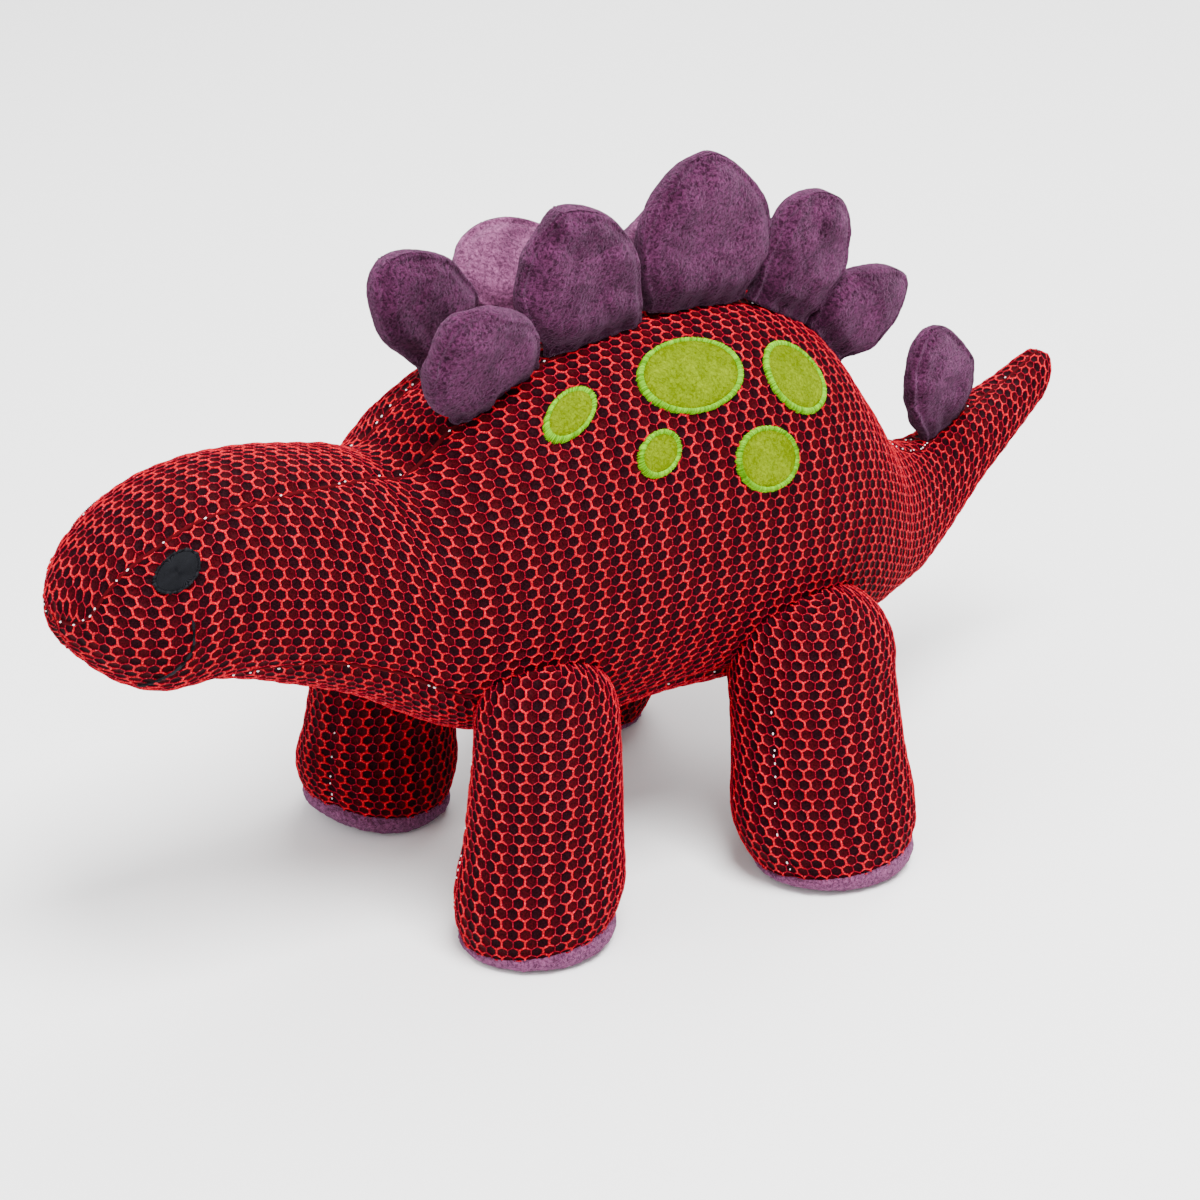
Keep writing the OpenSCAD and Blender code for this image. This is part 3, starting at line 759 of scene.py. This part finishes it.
def leg_ring(name, z, angle):
    """Points round a leg at a height in millimetres, for angles from the outside."""
    side, hip_y, hip_z, hip_r, hip_x, foot_x, foot_y = LEGS[name]
    hem_tilt, shin, heel_drop, _ = LEG_SHAPES[name]
    u = min(1, max(0, (z - SOLE_H) / (hip_z - SOLE_H)))
    over = min(1, max(0, (z - hip_z) / hip_r))
    top = max(0, 1 - over**LEG_SHOULDER) ** (1 / LEG_SHOULDER)
    straight_z = CLEAR_Z if foot_x - FOOT_R < SEAT_X else hip_z
    tuck = min(1, max(0, (z - SOLE_H) / (straight_z - SOLE_H)))
    outer = mix(LEG_TOP_X, mix(foot_x + FOOT_R, hip_x, u), top)
    inner = mix(foot_x - FOOT_R, SEAT_X, tuck)
    # Fuller at the calf and drawn in at the hem
    calf = 1 + 0.04 * hump(z, 24, 12) - 0.13 * hump(z, 2, 9)
    half_w = (outer - inner) / 2 * calf
    half_d = mix(FOOT_R, hip_r, u) * top * calf
    a = np.radians(angle)
    # The hem's tilt and drop fade out up the leg
    low = max(0, 1 - max(0, z - SOLE_H) / HEM_FADE)
    hem = low * (hem_tilt * np.cos(a - HEM_ANGLE) - 0.4)
    drop = low * heel_drop * (0.5 + 0.5 * np.cos(a - HEEL_ANGLE)) ** 2
    fuller = shin * hump(z, 26, 31) * np.clip(-np.sin(a), 0, 1)
    y = mix(foot_y, hip_y, u) + half_d * np.sin(a) - fuller
    x = side * ((outer + inner) / 2 + half_w * np.cos(a))
    return np.stack([x, y, z + hem - drop + toe_lift(name, y, z)], -1) * MM


def leg_net(name):
    """The net of one leg's cover. Its rows run round the leg and it has a seam at the front."""
    side, _, hip_z, hip_r, *_ = LEGS[name]
    over = np.arccos(np.linspace(1, 0, 60))[1:]
    zs = np.concatenate([np.linspace(SOLE_H, hip_z, 120), hip_z + hip_r * np.sin(over)])
    along = lengths(np.array([leg_ring(name, z, 0.0) for z in zs]))
    start = ROW_START[side]
    turns = start + np.linspace(-180, 180, 221)
    seam = (SEAM_ANGLE[name] - turns[0]) % 360 + turns[0]

    def place(s, t):
        points, out = np.zeros((len(s), 3)), np.zeros((len(s), 3))
        inside, sink = np.zeros(len(s), bool), np.zeros(len(s))
        for value in np.unique(t):
            chosen = t == value
            z = np.interp(value, along, zs)
            ring = leg_ring(name, z, turns)
            arc = lengths(ring)
            arc -= np.interp(start, turns, arc)
            held = np.clip(s[chosen], arc[0], arc[-1])
            angle = np.interp(held, arc, turns)
            points[chosen] = leg_ring(name, z, angle)
            out[chosen] = points[chosen] - ring.mean(axis=0)
            inside[chosen] = (held == s[chosen]) & (0 < value < along[-1])
            away = np.abs(held - np.interp(seam, turns, arc))
            sink[chosen] = groove(np.minimum(away, np.minimum(held - arc[0], arc[-1] - held)))
        return points, inside, sink, out

    return honeycomb(NET_REACH, (0, along[-1]), place)


def sole(name):
    """A plush sole: a dished disc that stands on its flat middle and meets the cover's hem."""
    side, *_, foot_x, foot_y = LEGS[name]
    angles = np.linspace(0, 360, 144, endpoint=False)
    hem = leg_ring(name, SOLE_H, angles) / MM
    centre = np.array([side * foot_x, foot_y])
    rim = hem[:, :2] - centre
    hem_z = hem[:, 2] - toe_lift(name, hem[:, 1], SOLE_H)
    rings = []
    for share, level in SOLE_PROFILE:
        flat, high = centre + rim * share, hem_z * level
        rings.append(np.column_stack([flat, high + toe_lift(name, flat[:, 1], high)]))
    inside = np.column_stack([centre + rim * 0.9, hem[:, 2] * 1.1])
    points = np.concatenate([inside[None], np.array(rings)]).reshape(-1, 3) * MM
    left, count, last = side > 0, len(angles), len(SOLE_PROFILE) * len(angles)
    faces = grid_faces(len(SOLE_PROFILE) + 1, count, closed=True, flip=left).tolist()
    top, bottom = range(count), range(last, last + count)
    faces += [bottom[::-1], top] if left else [bottom, top[::-1]]
    pile = SOLE_PILE * np.array([
        noise.noise(Vector(p) / PILE_GRAIN) + noise.noise(Vector(p) / 0.004) for p in points
    ])
    away = unit(points - np.array([*(centre * MM), 0.012]))
    points = points + away * pile[:, None]
    points[:, 2] = np.maximum(points[:, 2], 0.0)
    # Painted light: the whole sole is made paler
    painted_light = np.full(len(points), SOLE_PAINTED_LIGHT)
    piece = make("plush_sole_" + name, points, faces, PURPLE, {"painted_light": painted_light})
    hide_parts("sole_" + name)
    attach(piece, "leg_" + name)


def legs():
    for name in LEGS:
        cover = net_piece("leg_" + name, leg_net(name))
        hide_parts("leg_cover_" + name, "leg_filling_" + name)
        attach(cover, "leg_" + name)
        heights = np.linspace(SOLE_H + 2, LEGS[name][2], 60)
        seam, across = (np.array([leg_ring(name, z, SEAM_ANGLE[name] + turn) for z in heights])
                        for turn in (0, 180))
        out = unit(seam - across)
        stitches = stitches_along(seam - out * GROOVE_DEPTH, out, 0.3)
        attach(stitch_piece("leg_stitches_" + name, *stitches), "leg_" + name)
        sole(name)


# ---- plates ----

def leaf_edge(f, reach, base, peak, widest, square):
    """Distance of a plate's edge from its middle line, at a share of its height."""
    low = base + (reach - base) * np.sin(np.pi / 2 * np.clip(f / widest, 0, 1)) ** 0.9
    g = np.clip((f - widest) / (1 - widest), 0, 1)
    high = peak + (reach - peak) * (1 - g**square) ** (1 / square)
    return np.where(f < widest, low, high)


def plate_seat(name):
    """Middle of a plate's sewn edge, and the plate's own x, y and z directions."""
    side, y, base, _, lean = PLATES[name]
    y, base, lean = y * MM, base * MM, math.radians(side * lean)
    angle = side * float(back_seam(np.array(y)))
    ends = skin(np.array([y - base / 2, y + base / 2]), angle)
    middle = ends.mean(axis=0)
    along = unit(ends[1] - ends[0])
    up = np.array([0, -along[2], along[1]]) / math.hypot(along[1], along[2])
    steps = skin(y + base * (np.arange(1, 8) / 8 - 0.5), angle)
    bulge = max(0, ((steps - middle) @ up).max())
    seat = middle + up * (bulge + (BEAD_R + BEAD_GAP) * MM)
    slope = math.atan2(along[2], along[1])
    turn = math.atan2(-along[0], math.hypot(along[1], along[2]))
    cs, ss, ct, st, cl, sl = (f(v) for v in (slope, turn, lean) for f in (math.cos, math.sin))
    turn_z = np.array([[ct, -st, 0], [st, ct, 0], [0, 0, 1]])
    turn_x = np.array([[1, 0, 0], [0, cs, -ss], [0, ss, cs]])
    turn_y = np.array([[cl, 0, sl], [0, 1, 0], [-sl, 0, cl]])
    return seat, turn_z @ turn_x @ turn_y


def plate_flat(name, seed):
    """A plate laid flat: its points in rows from under the sewn edge to the tip, and how far
    each one is from the outline."""
    height = PLATES[name][3]
    front, rear, base_front, base_rear, peak, widest_f, widest_r, square_f, square_r = LEAVES[name]
    low = -(BEAD_R + BEAD_GAP + 1.2) / height
    f = 1 - (1 - low) * np.linspace(1, 0, PLATE_ROWS) ** 1.6
    waves = [np.array([noise.noise(seed + Vector((0, n, k * 4.0))) for k in f]) for n in (0, 3)]
    ahead = -leaf_edge(f, front, base_front, -peak, widest_f, square_f) - EDGE_WAVE * waves[0]
    behind = leaf_edge(f, rear, base_rear, peak, widest_r, square_r) + EDGE_WAVE * waves[1]
    ahead[-1] = behind[-1] = peak
    v = (1 - np.cos(np.linspace(0, math.pi, PLATE_COLUMNS))) / 2
    y = ahead[:, None] + (behind - ahead)[:, None] * v
    z = np.broadcast_to((f * height)[:, None], y.shape)
    edge = np.concatenate([np.column_stack([side, f * height]) for side in (ahead, behind)])
    flat = np.stack([y, z], -1).reshape(-1, 2)
    return flat, np.sqrt(((flat[:, None] - edge) ** 2).sum(-1)).min(axis=1)


def plate_sheets():
    """Faces of a plate's two sheets, which share their sides and tip and are closed below."""
    index = np.arange(2 * PLATE_ROWS * PLATE_COLUMNS).reshape(2, PLATE_ROWS, PLATE_COLUMNS)
    index[1, :, 0], index[1, :, -1] = index[0, :, 0], index[0, :, -1]
    index[1, -1, :] = index[0, -1, :]
    faces = []
    for sheet, flip in ((index[0], False), (index[1], True)):
        a, b, c, d = sheet[:-1, :-1], sheet[:-1, 1:], sheet[1:, 1:], sheet[1:, :-1]
        order = (d, c, b, a) if flip else (a, b, c, d)
        faces += np.stack(order, -1).reshape(-1, 4).tolist()
    loop = list(index[0, 0, :]) + list(index[1, 0, 1:-1][::-1])
    return [*faces, loop[::-1]]


def plate_points(name, flat, rim, seed):
    """Points of both faces of a stuffed plate: its own x, y and z, in millimetres."""
    height = PLATES[name][3]
    share = flat[:, 1] / height
    # Crowned in the middle, thinner at the foot, ridged along the outline and pleated below
    crown = np.sqrt(1 - (1 - np.clip(rim / CROWN_R, 0, 1)) ** 2)
    foot = np.minimum(1, 0.6 + np.clip(share + 0.05, 0, None) * 3)
    ridge = 0.8 * hump(rim, 0.8, 0.9) - 0.7 * hump(rim, 3.0, 1.2)
    pleat = np.sin(flat[:, 0] * 0.75 + 3 * seed.x) * np.exp(-np.clip(share, 0, None) * 6)
    stuffed = PLATE_T / 2 * crown * foot + 0.45 * pleat * crown
    thick = stuffed * THINNER.get(name, 1.0) + ridge * foot
    lean = 0.06 * flat[:, 1] * math.sin(3 * seed.x)
    column = np.tile(np.arange(PLATE_COLUMNS), PLATE_ROWS)
    inner = (column % (PLATE_COLUMNS - 1) > 0) & (share < 0.9999)
    sheets = []
    for way in (1, -1):
        sheet = np.column_stack([way * np.maximum(0, thick), flat])
        # Folds, dents and pile
        bumps = np.array([
            2.4 * noise.noise(Vector(p) / 14 + seed) + 0.8 * noise.noise(Vector(p) / 6 + seed)
            + 0.30 * noise.noise(Vector(p) / 1.2 + seed) for p in sheet
        ])
        sheet[:, 0] += way * np.where(inner, bumps * np.minimum(1, 0.3 + crown), 0) + lean
        sheets.append(sheet)
    local = np.concatenate(sheets)
    uneven = [noise.noise(Vector((0, p[1], p[2])) / 1.4 + seed) for p in local]
    local[:, 1] += 0.2 * np.array(uneven)
    return local


def plate(name):
    """A stuffed leaf of plush: two faces, crowned, that meet in a sewn ridge at the edge."""
    seat, turned = plate_seat(name)
    seed = Vector((7.3 * list(PLATES).index(name), 1.7, 4.1))
    flat, rim = plate_flat(name, seed)
    local = plate_points(name, flat, rim, seed)
    points, faces, kept = tidy(seat + (local * MM) @ turned.T, plate_sheets())
    # Painted shade: darker at the plate's foot, where it meets the body, and in patches of noise
    # like folds
    low = hump(np.clip(flat[:, 1] / PLATES[name][3], 0, None), 0, 0.22)
    fold_shade = np.array([noise.noise(Vector((0, *p)) / 11 + seed) for p in flat])
    painted_shade = np.maximum(low, np.clip(fold_shade * 1.6, 0, 0.7))
    # Painted light: some plates' left faces are made paler
    left_face = np.clip(local[kept, 0] / 2 + 0.5, 0, 1)
    shades = {"painted_light": PAINTED_LIGHT.get(name, 0.0) * left_face, "painted_shade": np.tile(painted_shade, 2)[kept]}
    piece = make("plush_plate_" + name, points, faces, PURPLE, shades)
    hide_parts("plate_cover_" + name, "plate_filling_" + name)
    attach(piece, "plate_" + name)


# ---- spots and face ----

def on_skin(row, reach, turn, height, side):
    """Points on the skin round an oval row, a height above it."""
    y, angle, half_l, half_w, tilt = row
    c, s = math.cos(math.radians(tilt)), math.sin(math.radians(tilt))
    p, q = reach * half_l * np.cos(turn), reach * half_w * np.sin(turn)
    step = np.linalg.norm(skin(y * MM, angle + 1) - skin(y * MM, angle - 1)) / 2 / MM
    ys, angles = (y + p * c - q * s) * MM, angle - (p * s + q * c) / step
    on, out = skin_and_out(ys, side * angles)
    uneven = lumps(on.reshape(-1, 3)).reshape(on.shape[:-1])
    return on + out * (uneven + np.asarray(height) * MM)[..., None]


def out_of(points, angle):
    """The way out of the body at points above the skin near one angle."""
    return unit(points - skin(points[:, 1], angle, 0.02))


def disc(row, reaches, heights, side, turns=96):
    """Points and faces of a crowned oval patch."""
    turn = np.linspace(0, 2 * np.pi, turns, endpoint=False)
    reach, around = np.meshgrid(reaches, turn, indexing="ij")
    height = np.broadcast_to(np.array(heights)[:, None], reach.shape)
    points = on_skin(row, reach, around, height, side).reshape(-1, 3)
    faces = [tuple(f) for f in grid_faces(len(reaches), turns, closed=True, flip=side < 0)]
    last = (len(reaches) - 1) * turns
    cap = tuple(range(last, last + turns))
    faces.append(cap if side > 0 else cap[::-1])
    return points, faces


def satin_ring(row, width, height, side, thread=0.34, shift=0.0):
    """A border of radial stitches round an oval, with each stitch's shade."""
    long, wide = row[2:4]
    around = math.pi * (3 * (long + wide) - math.sqrt((3 * long + wide) * (long + 3 * wide)))
    count = int(around / thread)
    turn = np.repeat(np.linspace(0, 2 * np.pi, count, endpoint=False), 2)
    turn[1::2] += np.pi / count
    high = np.tile([1.0, 0.72], count)
    shade = np.repeat(rng.random(count), 2)
    outer = np.repeat(rng.uniform(-0.22, 0.28, count), 2) + np.tile([0.08, -0.08], count)
    inner = np.repeat(rng.uniform(-0.1, 0.1, count), 2)
    # Across the border, from its inner edge to its outer one: share of the width and of the height
    profile = [
        (0.0, -0.6), (0.0, 0.25), (0.16, 0.78), (0.38, 1.0),
        (0.62, 1.0), (0.84, 0.78), (1.0, 0.25), (1.0, -0.6),
    ]
    rings = []
    for across, level in profile:
        offset = mix(-width + inner, outer, across) + shift
        reach = 1 + 2 * offset / (long + wide)
        rings.append(on_skin(row, reach, turn, height * level * (high if level > 0 else 1), side))
    points = np.array(rings).reshape(-1, 3)
    faces = grid_faces(len(profile), len(turn), closed=True, flip=side > 0).tolist()
    return points, faces, np.tile(shade, len(profile))


def spots():
    for side, word in ((1, "left"), (-1, "right")):
        rings, shades = [], []
        for k, row in enumerate(SPOTS):
            _, angle, _, half_w, _ = row
            reaches = np.concatenate([[0.91, 0.91], np.linspace(0.88, 0.02, 26)])
            crown = np.sqrt(np.clip(1 - (reaches / 0.92) ** 4, 0, 1))
            heights = 0.35 + 0.75 * crown
            heights[0] = -0.8
            points, faces = disc(row, reaches, heights, side)
            pile = np.array([noise.noise(Vector(p) / PILE_GRAIN) for p in points])
            out = out_of(points, side * angle)
            # Painted shade: the fill darkens along the inside of the raised border
            border_shade = np.repeat(hump((0.9 - reaches) * half_w, 0, 1.6), len(points) // len(reaches))
            points = points + out * (SPOT_PILE * pile)[:, None]
            patch = make(f"plush_spot_{word}_{k + 1}", points, faces, LIME, {"painted_shade": 0.5 * border_shade})
            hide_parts(f"spot_{word}_{k + 1}")
            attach(patch, "torso")
            ring, ring_faces, shade = satin_ring(row, 2.1, 1.6, side, shift=-0.7)
            rings.append((ring, ring_faces))
            shades.append(shade)
        points, faces = gather(rings)
        strands = {"strand": np.concatenate(shades)}
        border = make("spot_border_" + word, points, faces, LIME_THREAD, strands)
        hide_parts("spot_edging_" + word)
        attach(border, "torso")


def eyes():
    """Embroidered eyes: a filled oval of slanting stitches inside a raised outline."""
    parts, shades = [], []
    for side, row in ((1, EYE), (-1, FAR_EYE)):
        reaches = np.concatenate([[0.86, 0.86], np.linspace(0.84, 0.02, 40)])
        crown = np.sqrt(1 - np.linspace(0.95, 0.02, 41) ** 4)
        heights = np.concatenate([[-0.7], 0.45 + 0.35 * crown])
        points, faces = disc(row, reaches, heights, side, turns=160)
        stitch = np.sin(2 * np.pi * (points[:, 1] + 0.5 * points[:, 2]) / EYE_THREAD)
        out = out_of(points, side * row[1])
        parts.append((points + out * (EYE_RELIEF * stitch)[:, None], faces))
        # Painted sheen: the fill is lighter along the crest of each slanting stitch and darker
        # between
        shades.append(0.5 + 0.5 * stitch)
        ring, ring_faces, shade = satin_ring(row, 1.1, 1.3, side, thread=0.6)
        parts.append((ring, ring_faces))
        shades.append(shade)
    points, faces = gather(parts)
    strands = {"strand": np.concatenate(shades)}
    piece = make("embroidered_eyes", points, faces, DARK_THREAD, strands)
    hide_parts("eyes")
    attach(piece, "head")


def mouth():
    """The mouth: a line of short overlapping stitches on each side of the muzzle."""
    parts, shades = [], []
    at = np.arange(len(MOUTH), dtype=float)
    for side in (1, -1):
        fine = np.linspace(0, len(MOUTH) - 1, 90)
        ys = smooth(np.column_stack([at, MOUTH[:, 0]]), 1, fine) * MM
        angles = smooth(np.column_stack([at, MOUTH[:, 1]]), 1, fine)
        on, out = skin_and_out(ys, side * angles)
        on = on + out * lumps(on)[:, None]
        distance = lengths(on)
        start = 0.0
        while start < distance[-1] - 0.001:
            steps = np.linspace(start, min(start + MOUTH_STITCH, distance[-1]), 9)
            line = np.column_stack([np.interp(steps, distance, on[:, k]) for k in range(3)])
            up = np.column_stack([np.interp(steps, distance, out[:, k]) for k in range(3)])
            arch = np.sin(np.linspace(0, np.pi, 9))
            line = line + up * (0.0005 + 0.0003 * arch)[:, None]
            points, faces = tube(line, (0.30 + 0.22 * arch) * MM, 7)
            parts.append((points, faces))
            shades.append(np.full(len(points), rng.random()))
            start += MOUTH_STEP
    points, faces = gather(parts)
    strands = {"strand": np.concatenate(shades)}
    piece = make("embroidered_mouth", points, faces, DARK_THREAD, strands)
    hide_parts("mouth_stitches")
    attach(piece, "head")


# ---- studio ----

SKY_STRENGTH = 1.15
FLOOR_HALF = 6.0

# Lamps: name, place, watts and width. They point at the middle of the body
LAMPS = [
    ["key", (0.8, -0.1, 2.0), 120, 1.0],
    ["fill", (0.2, -1.7, 1.3), 22, 1.6],
    ["back", (-0.9, 1.2, 1.7), 45, 1.4],
]
MIDDLE = Vector((0, 0, 0.120))

# The camera: angles round and above the body, distance, lens and the lens's shift
AZIMUTH, ELEVATION, DISTANCE = math.radians(54.0), math.radians(23.9), 1.100
LENS, SENSOR = 89.1, 36
SHIFT_X, SHIFT_Y = -0.0198, -0.0636


def sky_and_floor():
    world = bpy.data.worlds.new("studio")
    bpy.context.scene.world = world
    world.use_nodes = True
    world.node_tree.nodes["Background"].inputs["Color"].default_value = (1, 1, 1, 1)
    world.node_tree.nodes["Background"].inputs["Strength"].default_value = SKY_STRENGTH
    material, _, _, shader = node_tools("floor")
    shader.inputs["Base Color"].default_value = (0.96, 0.96, 0.96, 1)
    shader.inputs["Roughness"].default_value = 0.9
    corners = [(x * FLOOR_HALF, y * FLOOR_HALF, 0) for x, y in ((-1, -1), (1, -1), (1, 1), (-1, 1))]
    make("floor", corners, [(0, 1, 2, 3)], material)


def lamps():
    for name, place, watts, width in LAMPS:
        lamp = bpy.data.lights.new(name, "AREA")
        lamp.energy, lamp.size = watts, width
        light = bpy.data.objects.new(name, lamp)
        light.location = place
        light.rotation_euler = (MIDDLE - Vector(place)).to_track_quat("-Z", "Y").to_euler()
        bpy.context.scene.collection.objects.link(light)


def camera():
    """The camera, in front of the left side and above it."""
    level = math.cos(ELEVATION)
    view = Vector((-math.sin(AZIMUTH) * level, math.cos(AZIMUTH) * level, -math.sin(ELEVATION)))
    eye = bpy.data.objects.new("camera", bpy.data.cameras.new("camera"))
    eye.data.lens, eye.data.sensor_width = LENS, SENSOR
    eye.data.shift_x, eye.data.shift_y = SHIFT_X, SHIFT_Y
    eye.location = MIDDLE - view * DISTANCE
    eye.rotation_euler = view.to_track_quat("-Z", "Y").to_euler()
    bpy.context.scene.collection.objects.link(eye)
    bpy.context.scene.camera = eye


covers()
seams()
legs()
for plate_name in PLATES:
    plate(plate_name)
spots()
eyes()
mouth()
sky_and_floor()
lamps()
camera()
